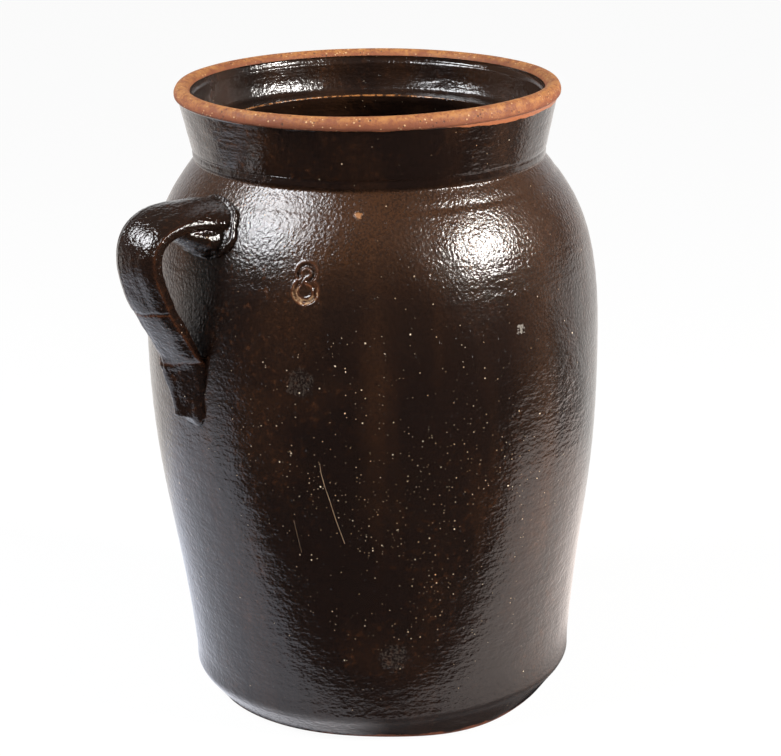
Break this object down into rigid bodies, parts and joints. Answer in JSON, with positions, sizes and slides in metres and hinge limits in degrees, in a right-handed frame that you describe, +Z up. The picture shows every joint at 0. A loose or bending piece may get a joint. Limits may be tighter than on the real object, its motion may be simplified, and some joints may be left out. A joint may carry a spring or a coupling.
{
  "type": "stoneware churn",
  "caption": "Turned stoneware churn jar with a dark glossy slip glaze, bare clay rim, lid ledge inside the collar and a strap handle.",
  "frame": {"origin": "centre of the foot, on the surface that the churn stands on", "axes": "+Z up along the jar's axis, out of the mouth; the handle points along -X"},
  "size_m": [0.286, 0.251, 0.3465],
  "materials": {
    "brown_glaze": "glossy dark brown slip glaze with orange-peel texture and pale specks",
    "bare_clay": "matt unglazed orange-brown stoneware with dark specks"
  },
  "bodies": {
    "root": {"base": "brown_glaze", "lower_wall": "brown_glaze", "upper_wall": "brown_glaze", "collar": "brown_glaze", "rim": "bare_clay", "strap_handle": "brown_glaze", "handle_root": "brown_glaze", "handle_tail": "brown_glaze"}
  },
  "joints": []
}
